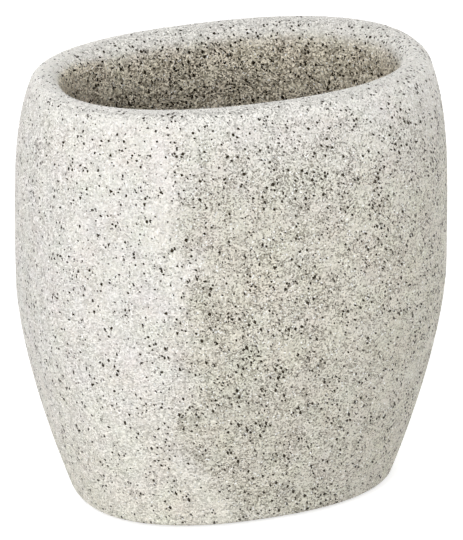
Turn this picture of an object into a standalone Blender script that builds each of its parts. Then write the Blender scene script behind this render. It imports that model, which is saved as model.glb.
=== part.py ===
"""Oval stone-look cup that stands toothbrushes upright, on four soft stick-on pads.

The cup is one casting with swollen sides, a rounded rim and a deep open hollow. Under its flat base are four
shallow round seats, each holding one pad. Metres, +Z up, +X along the cup's length. The origin is on the surface
that the pads stand on, under the middle of the cup.
"""

import math

import bmesh
import bpy

# Outside of the cup: heights above its underside, and its plan at the rim, the belly and the base
CUP_HEIGHT = 0.1100
BELLY_HEIGHT = 0.0555
RIM_LENGTH = 0.0980
RIM_DEPTH = 0.0620
BELLY_LENGTH = 0.1074
BELLY_DEPTH = 0.0778
BASE_LENGTH = 0.0808
BASE_DEPTH = 0.0570
RIM_EDGE_RADIUS = 0.0019
BASE_EDGE_RADIUS = 0.0013

# Its walls and hollow
RIM_FLAT = 0.0007
MOUTH_RADIUS = 0.0040
BELLY_WALL = 0.0078
FLOOR_WALL = 0.0080
FLOOR_THICKNESS = 0.0085
FLOOR_FILLET = 0.0100

# Foot pads and the seats that they are stuck in
PAD_DIAMETER = 0.0100
PAD_EDGE_RADIUS = 0.0004
PAD_STAND = 0.0006
SEAT_DEPTH = 0.0009
SEAT_CLEARANCE = 0.0003
ADHESIVE_GAP = 0.0003
PAD_PLACE_SHARES = (0.55, 0.50)  # of half the base's length and of half its depth
CUT_OVERRUN = 0.0020

# Shape of the plan and of the sides: 2 makes a plain ellipse, and more makes it squarer
PLAN_POWER = 2.35
HOLLOW_PLAN_POWER = 2.25
SHOULDER_POWER = 4.4
FOOT_POWER = 1.54

# How finely the round shapes are divided
PLAN_SIDES = 64
SIDE_LEVELS = 18
HOLLOW_LEVELS = 11
EDGE_LEVELS = 3
MOUTH_LEVELS = 5
FILLET_LEVELS = 4
PAD_SIDES = 32
PAD_EDGE_LEVELS = 3
SHARP_ANGLE = math.radians(35)
QUARTER_TURN = math.pi / 2

STONE_COLOUR = (0.72, 0.70, 0.64, 1.0)
STONE_ROUGHNESS = 0.55
PAD_COLOUR = (0.16, 0.16, 0.165, 1.0)
PAD_ROUGHNESS = 0.8


def clear_scene():
    for thing in list(bpy.data.objects):
        bpy.data.objects.remove(thing)


def plain_material(name, colour, roughness):
    material = bpy.data.materials.new(name)
    material.use_nodes = True
    shader = material.node_tree.nodes["Principled BSDF"]
    shader.inputs["Base Color"].default_value = colour
    shader.inputs["Roughness"].default_value = roughness
    shader.inputs["Metallic"].default_value = 0.0
    return material


def halves(length, depth, wall=0.0):
    """Half the length and half the depth of a plan, inside a wall."""
    return (length / 2 - wall, depth / 2 - wall)


def between(first, second, share):
    """Two half plans mixed, where a share of 0 is all the first."""
    return tuple(a + (b - a) * share for a, b in zip(first, second))


def outer_halves(height):
    """Half length and half depth of the outside at a height, before its edges are rounded."""
    belly = halves(BELLY_LENGTH, BELLY_DEPTH)
    if height > BELLY_HEIGHT:
        climb = (height - BELLY_HEIGHT) / (CUP_HEIGHT - BELLY_HEIGHT)
        return between(belly, halves(RIM_LENGTH, RIM_DEPTH), climb**SHOULDER_POWER)
    drop = (BELLY_HEIGHT - height) / BELLY_HEIGHT
    return between(belly, halves(BASE_LENGTH, BASE_DEPTH), drop**FOOT_POWER)


def hollow_halves(height):
    """Half length and half depth of the hollow at a height, before its floor is rounded."""
    belly = halves(BELLY_LENGTH, BELLY_DEPTH, BELLY_WALL)
    if height > BELLY_HEIGHT:
        mouth = halves(RIM_LENGTH, RIM_DEPTH, RIM_EDGE_RADIUS + RIM_FLAT + MOUTH_RADIUS)
        climb = (height - BELLY_HEIGHT) / (CUP_HEIGHT - MOUTH_RADIUS - BELLY_HEIGHT)
        return between(belly, mouth, (1 - math.cos(math.pi * climb)) / 2)
    floor = tuple(half - FLOOR_WALL for half in outer_halves(FLOOR_THICKNESS))
    drop = (BELLY_HEIGHT - height) / (BELLY_HEIGHT - FLOOR_THICKNESS)
    return between(belly, floor, drop**FOOT_POWER)


def inset(half_sizes, distance):
    return tuple(half - distance for half in half_sizes)


def eased_heights(low, high, levels):
    """Heights between two limits, closer together towards both."""
    shares = [(1 - math.cos(math.pi * step / levels)) / 2 for step in range(levels + 1)]
    return [low + (high - low) * share for share in shares]


def quarter_round(radius, levels):
    """(sideways, upwards) along a quarter circle that starts upright and ends level."""
    turns = [QUARTER_TURN * step / levels for step in range(levels + 1)]
    return [(radius * (1 - math.cos(turn)), radius * math.sin(turn)) for turn in turns]


def outside_levels():
    """(half sizes, height, plan power) from the underside up to the top of the rim's outer edge."""
    levels = []
    for sideways, upwards in reversed(quarter_round(BASE_EDGE_RADIUS, EDGE_LEVELS)):
        height = BASE_EDGE_RADIUS - upwards
        levels.append((inset(outer_halves(height), sideways), height, PLAN_POWER))
    shoulder = CUP_HEIGHT - RIM_EDGE_RADIUS
    for height in eased_heights(BASE_EDGE_RADIUS, shoulder, SIDE_LEVELS)[1:-1]:
        levels.append((outer_halves(height), height, PLAN_POWER))
    for sideways, upwards in quarter_round(RIM_EDGE_RADIUS, EDGE_LEVELS):
        height = shoulder + upwards
        levels.append((inset(outer_halves(height), sideways), height, PLAN_POWER))
    return levels


def hollow_side_levels():
    """The same, from the rim's flat down through the mouth to the floor of the hollow."""
    levels = []
    mouth = CUP_HEIGHT - MOUTH_RADIUS
    for sideways, upwards in reversed(quarter_round(MOUTH_RADIUS, MOUTH_LEVELS)):
        levels.append((inset(hollow_halves(mouth), -sideways), mouth + upwards, HOLLOW_PLAN_POWER))
    fillet_top = FLOOR_THICKNESS + FLOOR_FILLET
    for height in reversed(eased_heights(fillet_top, mouth, HOLLOW_LEVELS)[1:-1]):
        levels.append((hollow_halves(height), height, HOLLOW_PLAN_POWER))
    for sideways, upwards in quarter_round(FLOOR_FILLET, FILLET_LEVELS):
        height = fillet_top - upwards
        levels.append((inset(hollow_halves(height), sideways), height, HOLLOW_PLAN_POWER))
    return levels


def add_ring(shape, half_sizes, height, power):
    """One closed oval of points at a height."""
    ring = []
    for side in range(PLAN_SIDES):
        turn = 2 * math.pi * side / PLAN_SIDES
        places = []
        for half, reach in zip(half_sizes, (math.cos(turn), math.sin(turn))):
            places.append(half * math.copysign(abs(reach) ** (2 / power), reach))
        ring.append(shape.verts.new((*places, height)))
    return ring


def join_rings(shape, lower, upper):
    for side in range(PLAN_SIDES):
        following = (side + 1) % PLAN_SIDES
        shape.faces.new((lower[side], lower[following], upper[following], upper[side]))


def finish_object(name, shape, material, parent):
    """Turns a bmesh into an object with its own mesh, shaded smooth but for its sharp edges."""
    bmesh.ops.recalc_face_normals(shape, faces=shape.faces)
    mesh = bpy.data.meshes.new(name)
    shape.to_mesh(mesh)
    shape.free()
    mesh.shade_smooth()
    mesh.set_sharp_from_angle(angle=SHARP_ANGLE)
    if material:
        mesh.materials.append(material)
    made = bpy.data.objects.new(name, mesh)
    made.parent = parent
    bpy.context.scene.collection.objects.link(made)
    return made


def make_cup(parent):
    shape = bmesh.new()
    rings = [add_ring(shape, *level) for level in outside_levels() + hollow_side_levels()]
    for lower, upper in zip(rings, rings[1:]):
        join_rings(shape, lower, upper)
    shape.faces.new(reversed(rings[0]))
    shape.faces.new(rings[-1])
    cup = finish_object("cup", shape, plain_material("stone", STONE_COLOUR, STONE_ROUGHNESS), parent)
    cup.location.z = PAD_STAND
    return cup


def round_bar(diameter, low, high):
    """An upright round bar between two heights."""
    shape = bmesh.new()
    radius = diameter / 2
    bmesh.ops.create_cone(
        shape, cap_ends=True, segments=PAD_SIDES, radius1=radius, radius2=radius, depth=high - low
    )
    bmesh.ops.translate(shape, verts=shape.verts, vec=(0, 0, (low + high) / 2))
    return shape


def cut_seat(cup, pad_name, place, parent):
    """Cuts the round seat that a pad is stuck in, from just below the cup's underside."""
    seat_top = PAD_STAND + SEAT_DEPTH
    shape = round_bar(PAD_DIAMETER + 2 * SEAT_CLEARANCE, PAD_STAND - CUT_OVERRUN, seat_top)
    cutter = finish_object(pad_name + "_seat_cutter", shape, None, parent)
    cutter.location.xy = place
    cutter.hide_render = True
    cutter.display_type = "WIRE"
    cut = cup.modifiers.new(pad_name + "_seat", "BOOLEAN")
    cut.operation = "DIFFERENCE"
    cut.solver = "EXACT"
    cut.object = cutter


def make_pad(name, place, material, parent):
    """A soft round pad that stands on z = 0 and ends a film of adhesive below the top of its seat."""
    shape = round_bar(PAD_DIAMETER, 0, PAD_STAND + SEAT_DEPTH - ADHESIVE_GAP)
    underside = [edge for edge in shape.edges if max(corner.co.z for corner in edge.verts) <= 0]
    bmesh.ops.bevel(
        shape,
        geom=underside,
        offset=PAD_EDGE_RADIUS,
        segments=PAD_EDGE_LEVELS,
        profile=0.5,
        affect="EDGES",
    )
    pad = finish_object(name, shape, material, parent)
    pad.location.xy = place
    return pad


def make_pads(cup, parent):
    material = plain_material("soft_pad", PAD_COLOUR, PAD_ROUGHNESS)
    base = halves(BASE_LENGTH, BASE_DEPTH)
    across, along = (half * share for half, share in zip(base, PAD_PLACE_SHARES))
    for end, side_x in (("left", -1), ("right", 1)):
        for face, side_y in (("front", -1), ("back", 1)):
            name = f"foot_pad_{face}_{end}"
            place = (side_x * across, side_y * along)
            cut_seat(cup, name, place, parent)
            make_pad(name, place, material, parent)


def main():
    clear_scene()
    holder = bpy.data.objects.new("toothbrush_holder", None)
    bpy.context.scene.collection.objects.link(holder)
    cup = make_cup(holder)
    make_pads(cup, holder)


main()
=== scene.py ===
"""Looks of an oval stone-look cup for toothbrushes and of the four soft pads that it stands on.

The cup's mesh follows the same laws as its solid, but finely, with the slight unevenness of a casting.
Its material is a pale sandy resin, strewn with black, grey and white grains that lie in the stone itself,
so that they look cut at any angle. Metres, +Z up, +X along the cup's length.
"""

import math

import bmesh
import bpy
import numpy as np
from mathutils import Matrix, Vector, noise


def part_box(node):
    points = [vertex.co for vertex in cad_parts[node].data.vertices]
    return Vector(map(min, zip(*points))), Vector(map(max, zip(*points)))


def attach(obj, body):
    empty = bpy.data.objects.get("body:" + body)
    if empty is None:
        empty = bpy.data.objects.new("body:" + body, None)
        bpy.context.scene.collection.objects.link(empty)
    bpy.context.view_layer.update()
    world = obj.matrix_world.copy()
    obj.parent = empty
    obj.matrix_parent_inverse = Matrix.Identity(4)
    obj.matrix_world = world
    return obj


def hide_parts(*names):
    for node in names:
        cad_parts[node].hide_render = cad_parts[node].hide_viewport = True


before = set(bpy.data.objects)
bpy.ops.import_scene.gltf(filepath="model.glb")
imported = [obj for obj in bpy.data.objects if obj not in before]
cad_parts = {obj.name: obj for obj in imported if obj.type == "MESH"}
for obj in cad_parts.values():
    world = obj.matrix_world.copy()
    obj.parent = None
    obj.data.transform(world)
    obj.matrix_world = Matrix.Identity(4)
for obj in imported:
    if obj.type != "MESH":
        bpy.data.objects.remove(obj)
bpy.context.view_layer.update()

# Sizes that the frame gives
CUP_LOW, CUP_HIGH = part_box("cup")
CUP_HEIGHT = CUP_HIGH.z - CUP_LOW.z
BELLY_LENGTH = CUP_HIGH.x - CUP_LOW.x
BELLY_DEPTH = CUP_HIGH.y - CUP_LOW.y

# The cup's other sizes, as in its solid
BELLY_HEIGHT = 0.0555
RIM_LENGTH = 0.0980
RIM_DEPTH = 0.0620
BASE_LENGTH = 0.0808
BASE_DEPTH = 0.0570
RIM_EDGE_RADIUS = 0.0019
BASE_EDGE_RADIUS = 0.0013
RIM_FLAT = 0.0007
MOUTH_RADIUS = 0.0040
BELLY_WALL = 0.0078
FLOOR_WALL = 0.0080
FLOOR_THICKNESS = 0.0085
FLOOR_FILLET = 0.0100
PLAN_POWER = 2.35
HOLLOW_PLAN_POWER = 2.25
SHOULDER_POWER = 4.4
FOOT_POWER = 1.54

# Seats under the cup, around the pads that the frame gives
PAD_NODES = ("foot_pad_front_left", "foot_pad_front_right", "foot_pad_back_left", "foot_pad_back_right")
SEAT_DEPTH = 0.0009
SEAT_CLEARANCE = 0.0003
SEAT_LIP = 0.0001
PAD_EDGE_RADIUS = 0.0004
PAD_TOP_RADIUS = 0.0001
PAD_BULGE = 0.0001

# Fineness of the meshes
PLAN_SIDES = 336
PLAN_SAMPLES = 8192
BASE_EDGE_LEVELS = 6
OUTSIDE_LEVELS = 116
RIM_EDGE_LEVELS = 9
MOUTH_LEVELS = 12
FADE_LEVELS = 5  # below the rounded mouth, where the look of the hollow is still setting in
HOLLOW_LEVELS = 92
FILLET_LEVELS = 14
FLOOR_LEVELS = 14
SEAT_SIDES = 64
PAD_EDGE_LEVELS = 6
PAD_SIDE_LEVELS = 6
SHARP_ANGLE = math.radians(35)

# Unevenness of the casting: how deep it goes, and how far apart its swells are
SWELLS = ((0.00005, 0.0080), (0.00003, 0.0032))

# The photo's frame, and its camera
PHOTO_WIDTH = 463
PHOTO_HEIGHT = 540
CAMERA_AZIMUTH = math.radians(-20.1)
CAMERA_ELEVATION = math.radians(22.885)
CAMERA_DISTANCE = 1.32
CAMERA_LENS = 356.1
CAMERA_SENSOR = 36.0
AIM_ACROSS = 231.76  # pixel of the photo where the middle of the cup lies
AIM_DOWN = 271.63

# Lamps round the cup: where each one stands in degrees, and its share of the full light
LAMP_DISTANCE = 1.0
LAMP_SIZE = 0.5
LAMPS = (
    ("back_lamp", 180, 18, 0.45),
    ("back_left_lamp", -150, 18, 0.16),
    ("left_lamp", -100, 18, 0.06),
    ("front_left_lamp", -60, 18, 0.17),
    ("key_lamp", -40, 18, 0.43),
    ("front_lamp", -20, 18, 0.26),
    ("front_right_lamp", 52, 6, 0.30),
    ("right_lamp", 95, 6, 0.40),
    ("back_right_lamp", 140, 18, 0.25),
    ("high_left_lamp", -45, 50, 0.26),
    ("high_right_lamp", 45, 50, 0.06),
    ("top_lamp", 0, 85, 0.10),
)
COLOUR_AS_WRITTEN = math.pi**2  # watts of an area lamp 1 m away that show a colour at full strength

# The paper floor, and the glow added to what is seen of it, near the object and far away
FLOOR_COLOUR = (0.72, 0.72, 0.72, 1)
FLOOR_RADIUS = 4.0
FLOOR_SIDES = 96
FLOOR_DROP = 0.00005
FLOOR_GLOWS = (0.6, 1.0)
GLOW_DISTANCES = (LAMP_DISTANCE * 0.5, LAMP_DISTANCE * 1.5)

# Lengths in the stone and in the rubber are in millimetres
METRES_TO_MM = 1000.0

# How the look of the hollow sets in, by the share of it that each point of the mesh has
HOLLOW_MARK = "hollow_share"
HOLLOW_START = (0.4, 1.0)  # its colours, with their painted shade, and relief
DEEP_START = (0.5, 1.0)  # its thickly strewn grains and painted shade, and the end of the painted light on the rim
LEFT_END = (-22.0, -40.0)
LEFT_SHADE_STEEPNESS = 1.9  # how much faster than elsewhere it sets in at the left end, painting shade on the inside of its rounded mouth

# Where grains lie thickly and the side turned from the light gets painted shade: right of an uneven line,
# blurred towards the back and shifted at the foot
LINE_DEPTHS = (-15.0, 20.0)  # in front and at the back, where the next two hold
SPARSE_LIT_ENDS = (-31.0, -60.0)
DENSE_SHADED_ENDS = (-17.0, 25.0)
LINE_CLOUD = (13.0, 2.0)
LINE_WANDER = 26.0
FOOT_HEIGHT = 24.0
FOOT_SHIFT = 20.0
CALM_DEPTHS = (20.0, 2.0)  # below the top, where the grains and the painted shade thin out
RIM_DENSITY_AND_SHADE = 0.35
RIGHT_END = (30.0, 50.0)

# Colours of the sand, and the tints over it
WHITE = (1, 1, 1, 1)
SAND = (0.785, 0.758, 0.708)
PATCH_TINTS = (0.07, 0.07, 0.08)
PATCH_CLOUD = (7.0, 2.0)
GREY_SAND = (0.15, 0.125, 0.075, 1)
CLEAR_SAND = (0.965, 0.948, 0.92, 1)
# Painted shade and painted light over the sand: darker and warmer on the side turned from the light, warmer
# low down, cooler high up, darker and warmer in the hollow
PAINTED_SHADE_TINT = (0.86, 0.86, 0.86, 1)
PAINTED_WARM_LIGHT_TINT = (1.0, 0.988, 0.915, 1)
HOLLOW_PAINTED_SHADE_TINT = (1.0, 0.94, 0.81, 1)
HIGH_PAINTED_COOL_LIGHT = (70.0, 108.0, 1.0, 0.35)  # between two heights, from one share of warmth to another
LOW_PAINTED_WARM_LIGHT = (55.0, 0.0, 0.0, 0.75)

# The sand's grains: their size, how clear and how grey they are, and how they lie
SAND_SIZE = 0.34
SAND_WOBBLE = (0.45, 0.15)
CLEAR_DRAWS = (0.3, 0.8)  # from the random number that leaves a grain plain to the one that clears it
RIGHT_CLEARNESS = (0.5, 0.9)
HOLLOW_CLEARNESS = (0.5, 1.0)
GREY_CHANCES = (-0.45, -0.3)  # before what the crowding adds
GREY_CROWDING = 1.3
GREY_EDGE = (-0.1, 0.1)
GREYNESS = (0.28, 0.52)
# more grey grains darken the hollow: part grain, part painted shade
HOLLOW_GREYNESS = (1.0, 1.25)
GRIT_CLOUD = (0.5, 1.0)
GRIT_SHARE = 0.10
RELIEFS = (1.9, 2.2)  # how steep their facets lie, outside and in the hollow

# Gloss of the stone: duller and clearer grains, by the number that each one draws
GLOSS_LEVEL = 0.25
GLOSS_TINT = (1.0, 0.93, 0.8, 1)
GLOSS_DRAWS = (0.5, 0.9)
ROUGHNESS = (0.55, 0.22)

# Strewn grains, which crowd together in places
GRAIN_WOBBLE = (0.45, 0.3)
CROWDING_STEP = 90.0
CROWDING_CLOUD = (4.5, 3.0, 0.65)
SUNKEN_GRAIN = (0.12, 0.10, 0.065, 1)
SUNKEN_STEP = 17.0
SUNKEN_SIZES = {"apart": 0.9, "smallest": 0.16, "largest": 0.46, "edge": 0.25}
SUNKEN_CHANCES = (0.35, 0.65, 0.2, 0.8)
SUNKEN_SHARE = 0.6
WHITE_GRAIN = (0.97, 0.97, 0.96, 1)
WHITE_STEP = 29.0
WHITE_SIZES = {"apart": 0.9, "smallest": 0.12, "largest": 0.38, "edge": 0.06}
WHITE_CHANCES = (0.5, 0.95)
BLACK_GRAIN = (0.020, 0.013, 0.004, 1)
BLACK_SIZES = {"apart": 0.8, "smallest": 0.12, "largest": 0.58, "edge": 0.04, "rarity": 2.1}
BLACK_STRETCH = (1.7, 1.0, 0.8)
BLACK_LAYERS = ((53.0, (0.3, 0.6, 0.9)), (71.0, (2.1, 1.2, 0.4)))  # how each is shifted and turned
BLACK_CHANCES = (0.38, 0.62, 0.12, 0.8)
BLACK_THICKNESS = (0.65, 1.0)
# more black grains in the hollow: part grain, part painted shade in its pits
HOLLOW_CROWDING = (1.0, 1.8)
RIGHT_CROWDING = (1.0, 1.5)

# Painted light on the top of the rim, which makes it paler and cooler
RIM_PAINTED_LIGHT_SAND = (0.90, 0.882, 0.835, 1)
RIM_DEPTHS = (4.5, 1.0)
RIM_PAINTED_LIGHT_SHARE = 0.65

# Foam rubber of the pads
RUBBER_COLOURS = ((0.10, 0.10, 0.103, 1), (0.17, 0.17, 0.175, 1))
RUBBER_ROUGHNESS = (0.9, 0.7)
PORE_SIZE = 0.25
PORE_EDGES = (0.5, 0.6)  # how wide the pores are in colour and in gloss
PORE_DEPTH = 0.04


def halves(length, depth, wall=0.0):
    """Half the length and half the depth of a plan, inside a wall."""
    return np.array((length / 2 - wall, depth / 2 - wall))


def between(first, second, share):
    return first + (second - first) * share


def outer_halves(height):
    """Half length and half depth of the outside at a height above the underside."""
    belly = halves(BELLY_LENGTH, BELLY_DEPTH)
    if height > BELLY_HEIGHT:
        climb = (height - BELLY_HEIGHT) / (CUP_HEIGHT - BELLY_HEIGHT)
        return between(belly, halves(RIM_LENGTH, RIM_DEPTH), climb**SHOULDER_POWER)
    drop = (BELLY_HEIGHT - height) / BELLY_HEIGHT
    return between(belly, halves(BASE_LENGTH, BASE_DEPTH), drop**FOOT_POWER)


def hollow_halves(height):
    """Half length and half depth of the hollow at a height above the underside."""
    belly = halves(BELLY_LENGTH, BELLY_DEPTH, BELLY_WALL)
    if height > BELLY_HEIGHT:
        mouth = halves(RIM_LENGTH, RIM_DEPTH, RIM_EDGE_RADIUS + RIM_FLAT + MOUTH_RADIUS)
        climb = (height - BELLY_HEIGHT) / (CUP_HEIGHT - MOUTH_RADIUS - BELLY_HEIGHT)
        return between(belly, mouth, (1 - math.cos(math.pi * climb)) / 2)
    drop = (BELLY_HEIGHT - height) / (BELLY_HEIGHT - FLOOR_THICKNESS)
    return between(belly, outer_halves(FLOOR_THICKNESS) - FLOOR_WALL, drop**FOOT_POWER)


def quarter_round(radius, levels):
    """(sideways, upwards) along a quarter circle that starts upright and ends level."""
    turns = np.linspace(0, math.pi / 2, levels + 1)
    return [(radius * (1 - math.cos(turn)), radius * math.sin(turn)) for turn in turns]


def outside_levels():
    """(half sizes, height, plan power) from the underside up to the outer end of the rim's flat."""
    levels = []
    for sideways, upwards in reversed(quarter_round(BASE_EDGE_RADIUS, BASE_EDGE_LEVELS)):
        height = BASE_EDGE_RADIUS - upwards
        levels.append((outer_halves(height) - sideways, height, PLAN_POWER))
    shoulder = CUP_HEIGHT - RIM_EDGE_RADIUS
    for height in np.linspace(BASE_EDGE_RADIUS, shoulder, OUTSIDE_LEVELS + 1)[1:-1]:
        levels.append((outer_halves(height), height, PLAN_POWER))
    for sideways, upwards in quarter_round(RIM_EDGE_RADIUS, RIM_EDGE_LEVELS):
        height = shoulder + upwards
        levels.append((outer_halves(height) - sideways, height, PLAN_POWER))
    return levels


def hollow_levels():
    """The same, from the inner end of the rim's flat down to the middle of the hollow's floor."""
    levels = []
    mouth = CUP_HEIGHT - MOUTH_RADIUS
    for sideways, upwards in reversed(quarter_round(MOUTH_RADIUS, MOUTH_LEVELS)):
        levels.append((hollow_halves(mouth) + sideways, mouth + upwards, HOLLOW_PLAN_POWER))
    fillet_top = FLOOR_THICKNESS + FLOOR_FILLET
    for height in np.linspace(mouth, fillet_top, HOLLOW_LEVELS + 1)[1:-1]:
        levels.append((hollow_halves(height), height, HOLLOW_PLAN_POWER))
    for sideways, upwards in quarter_round(FLOOR_FILLET, FILLET_LEVELS):
        height = fillet_top - upwards
        levels.append((hollow_halves(height) - sideways, height, HOLLOW_PLAN_POWER))
    floor = levels[-1][0]
    for share in np.linspace(1, 0, FLOOR_LEVELS + 1)[1:-1]:
        levels.append((floor * share, FLOOR_THICKNESS, HOLLOW_PLAN_POWER))
    return levels


def hollow_shares():
    """How far each ring of the cup belongs to its hollow: 0 outside, and 1 just below its rounded mouth."""
    mouth = np.linspace(0, 1, MOUTH_LEVELS + FADE_LEVELS + 1)
    inner = np.ones(len(hollow_levels()) - len(mouth))
    return np.concatenate((np.zeros(len(outside_levels())), mouth, inner))


def plan_points(half_sizes, power, turns):
    """Points of an oval, in columns of x and y."""
    reaches = np.column_stack((np.cos(turns), np.sin(turns)))
    return half_sizes * np.sign(reaches) * np.abs(reaches) ** (2 / power)


def even_turns():
    """Turns round the plan that space its points evenly along the belly."""
    turns = np.linspace(0, 2 * math.pi, PLAN_SAMPLES + 1)
    steps = np.diff(plan_points(halves(BELLY_LENGTH, BELLY_DEPTH), PLAN_POWER, turns), axis=0)
    along = np.concatenate(((0,), np.cumsum(np.hypot(steps[:, 0], steps[:, 1]))))
    return np.interp(np.linspace(0, along[-1], PLAN_SIDES + 1)[:-1], along, turns)


def add_ring(shape, points, height):
    return [shape.verts.new((across, along, height)) for across, along in points]


def join_rings(shape, first, second):
    """Faces between two rings of as many points."""
    for corner, point in enumerate(first):
        following = (corner + 1) % len(first)
        shape.faces.new((point, first[following], second[following], second[corner]))


def circle_points(middle, radius, sides):
    turns = np.arange(sides) * 2 * math.pi / sides
    return np.column_stack((middle.x + radius * np.cos(turns), middle.y + radius * np.sin(turns)))


def ring_edges(ring):
    """The edges between neighbouring points of a ring."""
    edges = []
    for first, second in zip(ring, ring[1:] + ring[:1]):
        edges.append(next(edge for edge in first.link_edges if edge.other_vert(first) == second))
    return edges


def pad_middle(node):
    low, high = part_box(node)
    return (low + high) / 2


def add_seat(shape, node):
    """One round seat in the underside, with a softened lip. Returns its outermost ring."""
    low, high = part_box(node)
    radius = (high.x - low.x) / 2 + SEAT_CLEARANCE
    levels = [(radius + SEAT_LIP, 0), (radius, SEAT_LIP), (radius, SEAT_DEPTH)]
    middle = pad_middle(node)
    rings = [add_ring(shape, circle_points(middle, size, SEAT_SIDES), height) for size, height in levels]
    for outer, inner in zip(rings, rings[1:]):
        join_rings(shape, outer, inner)
    shape.faces.new(rings[-1])
    return rings[0]


def swell(place):
    """How deep the casting's surface lies below its true shape at a place."""
    depth = 0.0
    for deepest, apart in SWELLS:
        depth += deepest * (1 + noise.noise(place / apart)) / 2
    return depth


def finish_mesh(name, shape, material):
    """Turns a bmesh into an object, shaded smooth but for its sharp edges."""
    bmesh.ops.recalc_face_normals(shape, faces=shape.faces)
    mesh = bpy.data.meshes.new(name)
    shape.to_mesh(mesh)
    shape.free()
    mesh.shade_smooth()
    mesh.set_sharp_from_angle(angle=SHARP_ANGLE)
    mesh.materials.append(material)
    piece = bpy.data.objects.new(name, mesh)
    bpy.context.scene.collection.objects.link(piece)
    return piece


def make_cup(material):
    shape = bmesh.new()
    mark = shape.verts.layers.float.new(HOLLOW_MARK)
    turns = even_turns()
    rings = [
        add_ring(shape, plan_points(half_sizes, power, turns), height)
        for half_sizes, height, power in outside_levels() + hollow_levels()
    ]
    for lower, upper in zip(rings, rings[1:]):
        join_rings(shape, lower, upper)
    shape.faces.new(rings[-1])
    cast = [point for ring in rings[1:] for point in ring]
    seats = [add_seat(shape, node) for node in PAD_NODES]
    rims = [edge for ring in [rings[0]] + seats for edge in ring_edges(ring)]
    bmesh.ops.triangle_fill(shape, edges=rims, use_beauty=True)
    bmesh.ops.recalc_face_normals(shape, faces=shape.faces)
    shape.normal_update()
    sunk = [point.co - point.normal * swell(point.co) for point in cast]
    for point, place in zip(cast, sunk):
        point.co = place
    bmesh.ops.translate(shape, verts=shape.verts, vec=(0, 0, CUP_LOW.z))
    for ring, share in zip(rings, hollow_shares()):
        for point in ring:
            point[mark] = share
    cup = finish_mesh("stone_cup", shape, material)
    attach(cup, "root")
    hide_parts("cup")
    return cup


def pad_levels(radius, height):
    """(radius, height) of a pad's rings, from its flat underside to its flat top."""
    levels = []
    for sideways, upwards in reversed(quarter_round(PAD_EDGE_RADIUS, PAD_EDGE_LEVELS)):
        levels.append((radius - PAD_BULGE - sideways, PAD_EDGE_RADIUS - upwards))
    side = height - PAD_EDGE_RADIUS - PAD_TOP_RADIUS
    for level in range(1, PAD_SIDE_LEVELS):
        share = level / PAD_SIDE_LEVELS
        bulge = PAD_BULGE * math.sin(math.pi * share)
        levels.append((radius - PAD_BULGE + bulge, PAD_EDGE_RADIUS + side * share))
    for sideways, upwards in quarter_round(PAD_TOP_RADIUS, PAD_EDGE_LEVELS // 2):
        levels.append((radius - PAD_BULGE - sideways, height - PAD_TOP_RADIUS + upwards))
    return levels


def make_pad(node, material):
    """A soft disc in its seat: rounded where it meets the ground, with sides that bulge a little."""
    low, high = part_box(node)
    middle = pad_middle(node)
    shape = bmesh.new()
    rings = [
        add_ring(shape, circle_points(middle, radius, SEAT_SIDES), low.z + height)
        for radius, height in pad_levels((high.x - low.x) / 2, high.z - low.z)
    ]
    for lower, upper in zip(rings, rings[1:]):
        join_rings(shape, lower, upper)
    shape.faces.new(rings[0])
    shape.faces.new(rings[-1])
    pad = finish_mesh("soft_" + node, shape, material)
    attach(pad, "root")
    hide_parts(node)
    return pad


def node_material(name):
    """A new material, with its node tree and its shader."""
    material = bpy.data.materials.new(name)
    material.use_nodes = True
    tree = material.node_tree
    return material, tree, tree.nodes["Principled BSDF"]


def feed(tree, socket, value):
    """Links a socket to another one, or sets it to a plain value."""
    if isinstance(value, bpy.types.NodeSocket):
        tree.links.new(value, socket)
    else:
        socket.default_value = value


def add_node(tree, kind, inputs=(), **settings):
    """Adds a node. inputs pairs each socket's name or number with a value or with the socket to link."""
    node = tree.nodes.new(kind)
    for name, value in settings.items():
        setattr(node, name, value)
    for socket, value in dict(inputs).items():
        feed(tree, node.inputs[socket], value)
    return node


def result(node):
    """The one output that a node's settings leave it."""
    return next(socket for socket in node.outputs if socket.enabled)


def maths(tree, operation, first, second=0.0, third=0.0, clamp=False):
    inputs = {0: first, 1: second, 2: third}
    return add_node(tree, "ShaderNodeMath", inputs, operation=operation, use_clamp=clamp).outputs[0]


def vector_maths(tree, operation, *vectors):
    """A vector, or a number where the operation gives one."""
    return result(add_node(tree, "ShaderNodeVectorMath", enumerate(vectors), operation=operation))


def ramp(tree, value, low, high, to_low=0.0, to_high=1.0):
    """A value eased from one range to another, and held at its ends."""
    inputs = {"Value": value, "From Min": low, "From Max": high, "To Min": to_low, "To Max": to_high}
    return add_node(tree, "ShaderNodeMapRange", inputs, interpolation_type="SMOOTHSTEP").outputs[0]


def mixed(tree, share, first, second):
    """Two colours mixed by a share."""
    inputs = {"Factor": share, "A": first, "B": second}
    node = add_node(tree, "ShaderNodeMix", data_type="RGBA")
    for socket in node.inputs:
        if socket.enabled and socket.name in inputs:
            feed(tree, socket, inputs[socket.name])
    return result(node)


def fitted(tree, share, ends):
    """Eases from the first end to the second as a share goes from 0 to 1."""
    return ramp(tree, share, 0.0, 1.0, *ends)


def product(tree, first, *others):
    """Several numbers multiplied."""
    for other in others:
        first = maths(tree, "MULTIPLY", first, other)
    return first


def cloud(tree, place, apart, detail=1.0, roughness=0.5):
    """Soft noise with swells about so many millimetres apart. Its first output is a number around 0.5."""
    inputs = {"Vector": place, "Scale": 1 / apart, "Detail": detail, "Roughness": roughness}
    return add_node(tree, "ShaderNodeTexNoise", inputs, noise_dimensions="3D")


def centred(tree, colour):
    """A random colour as a step that goes either way."""
    return vector_maths(tree, "SUBTRACT", colour, (0.5, 0.5, 0.5))


def shifted(tree, place, step):
    """The same places moved, so that a second pattern doesn't follow the first."""
    return vector_maths(tree, "ADD", place, (step, -step, 2 * step))


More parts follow.
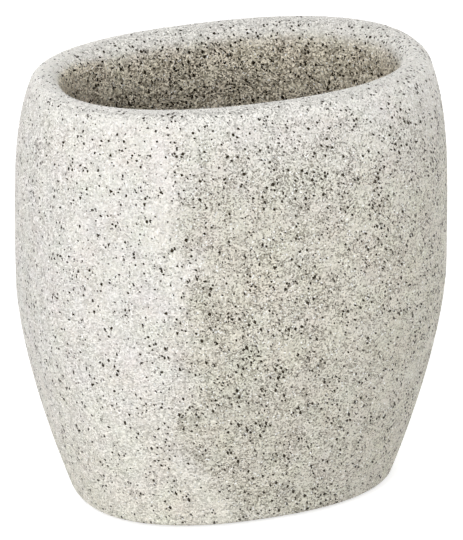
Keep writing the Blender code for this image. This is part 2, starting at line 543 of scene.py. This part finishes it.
def wobbled(tree, place, apart, reach):
    """The same places pushed about at random, which makes round grains ragged."""
    push = centred(tree, cloud(tree, place, apart).outputs["Color"])
    return vector_maths(tree, "MULTIPLY_ADD", push, (reach, reach, reach), place)


def millimetres(tree):
    """Places on the object in its own frame, in millimetres."""
    coordinates = add_node(tree, "ShaderNodeTexCoord").outputs["Object"]
    return vector_maths(tree, "MULTIPLY", coordinates, (METRES_TO_MM, METRES_TO_MM, METRES_TO_MM))


def cells(tree, place, apart, metric="EUCLIDEAN"):
    """Scattered cells so many millimetres across, and the three random numbers that each one draws."""
    inputs = {"Vector": place, "Scale": 1 / apart}
    node = add_node(tree, "ShaderNodeTexVoronoi", inputs, feature="F1", distance=metric)
    drawn = add_node(tree, "ShaderNodeSeparateColor", {"Color": node.outputs["Color"]})
    return node, drawn.outputs


def facets(tree, place, node):
    """Height in millimetres of flat facets, one to a cell, each tilted its own way."""
    from_middle = vector_maths(tree, "SUBTRACT", place, node.outputs["Position"])
    return vector_maths(tree, "DOT_PRODUCT", from_middle, centred(tree, node.outputs["Color"]))


def grains(tree, place, chance, apart, smallest, largest, edge, rarity=1.0):
    """1 inside scattered angular grains, falling to 0 over a soft edge. Lengths are in millimetres.

    The chance, from 0 to 1, says how many of the cells, which lie so far apart, hold a grain. Grains reach
    between the smallest and the largest from their middles, and the higher the rarity, the fewer are large.
    """
    node, drawn = cells(tree, place, apart, "MANHATTAN")
    growth = maths(tree, "POWER", drawn["Green"], rarity)
    radius = maths(tree, "MULTIPLY_ADD", growth, largest - smallest, smallest)
    distance = maths(tree, "MULTIPLY", node.outputs["Distance"], apart)
    inside = maths(tree, "DIVIDE", maths(tree, "SUBTRACT", radius, distance), edge, clamp=True)
    held = maths(tree, "LESS_THAN", drawn["Red"], chance)
    return maths(tree, "MULTIPLY", inside, held)


def stretched(tree, place, turns, scale):
    """The same places in a turned frame, so that grains there are longer one way than another."""
    inputs = {"Vector": place, "Rotation": turns, "Scale": scale}
    return add_node(tree, "ShaderNodeMapping", inputs, vector_type="TEXTURE").outputs[0]


def near_rim(tree, height, depths):
    """0 below the first depth under the cup's top, easing to 1 at the second."""
    low, high = (CUP_HIGH.z * METRES_TO_MM - depth for depth in depths)
    return ramp(tree, height, low, high)


def density_and_shade(tree, place, axes, inside):
    """How thickly dark grains lie and how much painted shade falls, from 0 at the cup's paler, lit left end
    to 1.
    """
    wander = maths(tree, "SUBTRACT", cloud(tree, place, *LINE_CLOUD).outputs[0], 0.5)
    foot_shift = ramp(tree, axes["Z"], 0.0, FOOT_HEIGHT, FOOT_SHIFT, 0.0)
    line = maths(tree, "MULTIPLY_ADD", wander, LINE_WANDER, foot_shift)
    sparse_lit_end, dense_shaded_end = (ramp(tree, axes["Y"], *LINE_DEPTHS, *ends) for ends in (SPARSE_LIT_ENDS, DENSE_SHADED_ENDS))
    across = ramp(tree, maths(tree, "SUBTRACT", axes["X"], line), sparse_lit_end, dense_shaded_end)
    calm = maths(tree, "MULTIPLY_ADD", near_rim(tree, axes["Z"], CALM_DEPTHS), RIM_DENSITY_AND_SHADE - 1, 1.0)
    return maths(tree, "MAXIMUM", product(tree, across, calm), ramp(tree, inside, *DEEP_START))


class Spot:
    """What the patterns of the stone follow at each spot of it, as sockets of its node tree."""

    def __init__(self, tree):
        self.place = millimetres(tree)
        axes = add_node(tree, "ShaderNodeSeparateXYZ", {"Vector": self.place}).outputs
        mark = add_node(tree, "ShaderNodeAttribute", attribute_name=HOLLOW_MARK).outputs["Fac"]
        left_shade_steepness = ramp(tree, axes["X"], *LEFT_END, 1.0, LEFT_SHADE_STEEPNESS)
        self.height = axes["Z"]
        self.inside = maths(tree, "MULTIPLY", mark, left_shade_steepness, clamp=True)
        self.dense_and_shaded = density_and_shade(tree, self.place, axes, self.inside)
        self.right = ramp(tree, axes["X"], *RIGHT_END)
        self.crowding = cloud(tree, shifted(tree, self.place, CROWDING_STEP), *CROWDING_CLOUD).outputs[0]


def hollowed(tree, spot, ends=(0.0, 1.0)):
    """Eases from the first end outside to the second in the hollow."""
    return ramp(tree, spot.inside, *HOLLOW_START, *ends)


def sand_colour(tree, spot, drawn):
    """Fine clear and grey grains side by side, over broad patches that each have a faint tint."""
    tints = cloud(tree, spot.place, *PATCH_CLOUD).outputs["Color"]
    lowest = tuple(level - tint / 2 for level, tint in zip(SAND, PATCH_TINTS))
    colour = vector_maths(tree, "MULTIPLY_ADD", tints, PATCH_TINTS, lowest)
    right_clearness = fitted(tree, spot.right, RIGHT_CLEARNESS)
    clearness = maths(tree, "MAXIMUM", right_clearness, hollowed(tree, spot, HOLLOW_CLEARNESS))
    cleared = product(tree, ramp(tree, drawn["Green"], *CLEAR_DRAWS), clearness)
    colour = mixed(tree, cleared, colour, CLEAR_SAND)
    least_chance = fitted(tree, spot.dense_and_shaded, GREY_CHANCES)
    chance = maths(tree, "MULTIPLY_ADD", spot.crowding, GREY_CROWDING, least_chance)
    greyed = ramp(tree, maths(tree, "SUBTRACT", chance, drawn["Red"]), *GREY_EDGE)
    # more grey grains on the shaded side and in the hollow: part grain, part painted shade
    greyness = product(tree, fitted(tree, spot.dense_and_shaded, GREYNESS), hollowed(tree, spot, HOLLOW_GREYNESS))
    return mixed(tree, product(tree, greyed, greyness), colour, GREY_SAND)


def painted_light_and_shade(tree, spot, colour):
    """A colour with painted shade and painted warm light: darkened and warmed on the side turned from the
    light, less warmed high up, warmed low down, and most in the hollow.
    """
    painted_warmth = product(tree, spot.dense_and_shaded, ramp(tree, spot.height, *HIGH_PAINTED_COOL_LIGHT))
    painted_warmth = maths(tree, "MAXIMUM", painted_warmth, ramp(tree, spot.height, *LOW_PAINTED_WARM_LIGHT))
    # painted shade darkens the side turned from the light
    painted_shade = mixed(tree, spot.dense_and_shaded, WHITE, PAINTED_SHADE_TINT)
    outer = vector_maths(tree, "MULTIPLY", painted_shade, mixed(tree, painted_warmth, WHITE, PAINTED_WARM_LIGHT_TINT))
    # the hollow's warmer, darker tint is painted shade with a warm cast
    tint = mixed(tree, hollowed(tree, spot), outer, HOLLOW_PAINTED_SHADE_TINT)
    return vector_maths(tree, "MULTIPLY", colour, tint)


def strewn(tree, spot, colour):
    """A colour strewn with sunken grains, paled and cooled along the rim by painted light, and strewn with
    white and black ones.
    """
    rough_place = wobbled(tree, spot.place, *GRAIN_WOBBLE)
    chance = ramp(tree, spot.crowding, *SUNKEN_CHANCES)
    sunken = grains(tree, shifted(tree, rough_place, SUNKEN_STEP), chance, **SUNKEN_SIZES)
    colour = mixed(tree, product(tree, sunken, SUNKEN_SHARE), colour, SUNKEN_GRAIN)
    outside_share = ramp(tree, spot.inside, *DEEP_START, RIM_PAINTED_LIGHT_SHARE, 0.0)
    rim_painted_light = product(tree, near_rim(tree, spot.height, RIM_DEPTHS), outside_share)
    colour = mixed(tree, rim_painted_light, colour, RIM_PAINTED_LIGHT_SAND)
    chance = fitted(tree, spot.dense_and_shaded, WHITE_CHANCES)
    white = grains(tree, shifted(tree, rough_place, WHITE_STEP), chance, **WHITE_SIZES)
    colour = mixed(tree, white, colour, WHITE_GRAIN)
    chance = product(
        tree,
        ramp(tree, spot.crowding, *BLACK_CHANCES),
        fitted(tree, spot.dense_and_shaded, BLACK_THICKNESS),
        fitted(tree, spot.inside, HOLLOW_CROWDING),
        fitted(tree, spot.right, RIGHT_CROWDING),
    )
    for step, turns in BLACK_LAYERS:
        grain_place = stretched(tree, shifted(tree, rough_place, step), turns, BLACK_STRETCH)
        colour = mixed(tree, grains(tree, grain_place, chance, **BLACK_SIZES), colour, BLACK_GRAIN)
    return colour


def stone_material():
    """Pale sandy resin, strewn with grains."""
    material, tree, shader = node_material("speckled_stone")
    spot = Spot(tree)
    sand_place = wobbled(tree, spot.place, *SAND_WOBBLE)
    sand, drawn = cells(tree, sand_place, SAND_SIZE)
    colour = strewn(tree, spot, painted_light_and_shade(tree, spot, sand_colour(tree, spot, drawn)))
    tree.links.new(colour, shader.inputs["Base Color"])
    shader.inputs["Specular IOR Level"].default_value = GLOSS_LEVEL
    shader.inputs["Specular Tint"].default_value = GLOSS_TINT
    tree.links.new(ramp(tree, drawn["Green"], *GLOSS_DRAWS, *ROUGHNESS), shader.inputs["Roughness"])
    grit = cloud(tree, spot.place, *GRIT_CLOUD).outputs[0]
    height = maths(tree, "MULTIPLY_ADD", grit, GRIT_SHARE, facets(tree, sand_place, sand))
    height = product(tree, height, hollowed(tree, spot, RELIEFS))
    bump = add_node(tree, "ShaderNodeBump", {"Height": height, "Distance": 1 / METRES_TO_MM})
    tree.links.new(bump.outputs["Normal"], shader.inputs["Normal"])
    return material


def pad_material():
    """Dark grey rubber with fine closed pores."""
    material, tree, shader = node_material("soft_rubber")
    inputs = {"Vector": millimetres(tree), "Scale": 1 / PORE_SIZE}
    pores = add_node(tree, "ShaderNodeTexVoronoi", inputs).outputs["Distance"]
    colour_edge, gloss_edge = PORE_EDGES
    colour = mixed(tree, ramp(tree, pores, 0.0, colour_edge), *RUBBER_COLOURS)
    tree.links.new(colour, shader.inputs["Base Color"])
    tree.links.new(ramp(tree, pores, 0.0, gloss_edge, *RUBBER_ROUGHNESS), shader.inputs["Roughness"])
    bump = add_node(tree, "ShaderNodeBump", {"Height": pores, "Distance": PORE_DEPTH / METRES_TO_MM})
    tree.links.new(bump.outputs["Normal"], shader.inputs["Normal"])
    return material


def seen_share(tree):
    """1 for what the camera sees straight, in gloss or through glass, and 0 for light on the object."""
    path = add_node(tree, "ShaderNodeLightPath")
    seen = maths(tree, "MAXIMUM", path.outputs["Is Camera Ray"], path.outputs["Is Glossy Ray"])
    return maths(tree, "MAXIMUM", seen, path.outputs["Is Transmission Ray"])


def floor_material():
    """Plain white paper: what is seen of it is lifted to white, but for a soft shadow."""
    material, tree, shader = node_material("white_paper")
    tree.nodes.remove(shader)
    paper = add_node(tree, "ShaderNodeBsdfDiffuse", {"Color": FLOOR_COLOUR}).outputs[0]
    outwards = vector_maths(tree, "LENGTH", add_node(tree, "ShaderNodeTexCoord").outputs["Object"])
    strength = ramp(tree, outwards, *GLOW_DISTANCES, *FLOOR_GLOWS)
    glow = add_node(tree, "ShaderNodeEmission", {"Color": WHITE, "Strength": strength}).outputs[0]
    lifted = add_node(tree, "ShaderNodeAddShader", {0: paper, 1: glow}).outputs[0]
    surface = add_node(tree, "ShaderNodeMixShader", {0: seen_share(tree), 1: paper, 2: lifted}).outputs[0]
    tree.links.new(surface, tree.nodes["Material Output"].inputs["Surface"])
    return material


def make_floor():
    shape = bmesh.new()
    bmesh.ops.create_circle(shape, cap_ends=True, segments=FLOOR_SIDES, radius=FLOOR_RADIUS)
    bmesh.ops.translate(shape, verts=shape.verts, vec=(0, 0, -FLOOR_DROP))
    floor = finish_mesh("paper_floor", shape, floor_material())
    return floor


def make_world():
    """White where it is seen, and no light on the object."""
    world = bpy.data.worlds.new("studio")
    bpy.context.scene.world = world
    world.use_nodes = True
    tree = world.node_tree
    background = tree.nodes["Background"]
    background.inputs["Color"].default_value = WHITE
    tree.links.new(seen_share(tree), background.inputs["Strength"])


def direction(azimuth, elevation):
    """Unit vector towards a place round the object: azimuth 0 is in front, and grows to the right."""
    flat = math.cos(elevation)
    return Vector((math.sin(azimuth) * flat, -math.cos(azimuth) * flat, math.sin(elevation)))


def make_lamp(name, azimuth, elevation, share):
    """A soft square white lamp that gives a share of the light at which a colour shows as written."""
    lamp = bpy.data.lights.new(name, "AREA")
    lamp.size = LAMP_SIZE
    lamp.energy = COLOUR_AS_WRITTEN * share * LAMP_DISTANCE**2
    holder = bpy.data.objects.new(name, lamp)
    towards = direction(math.radians(azimuth), math.radians(elevation))
    holder.location = Vector((0, 0, CUP_HEIGHT / 2)) + towards * LAMP_DISTANCE
    holder.rotation_euler = towards.to_track_quat("Z", "Y").to_euler()
    bpy.context.scene.collection.objects.link(holder)
    return holder


def make_camera():
    camera = bpy.data.cameras.new("photo_camera")
    camera.sensor_fit = "VERTICAL"
    camera.sensor_height = CAMERA_SENSOR
    camera.lens = CAMERA_LENS
    camera.shift_x = (PHOTO_WIDTH / 2 - AIM_ACROSS) / PHOTO_HEIGHT
    camera.shift_y = (AIM_DOWN - PHOTO_HEIGHT / 2) / PHOTO_HEIGHT
    holder = bpy.data.objects.new("photo_camera", camera)
    towards = direction(CAMERA_AZIMUTH, CAMERA_ELEVATION)
    holder.location = Vector((0, 0, CUP_LOW.z + CUP_HEIGHT / 2)) + towards * CAMERA_DISTANCE
    holder.rotation_euler = towards.to_track_quat("Z", "Y").to_euler()
    bpy.context.scene.collection.objects.link(holder)
    bpy.context.scene.camera = holder


def main():
    make_camera()
    make_cup(stone_material())
    rubber = pad_material()
    for node in PAD_NODES:
        make_pad(node, rubber)
    make_floor()
    make_world()
    for lamp in LAMPS:
        make_lamp(*lamp)
    bpy.context.scene.view_settings.view_transform = "Standard"


main()
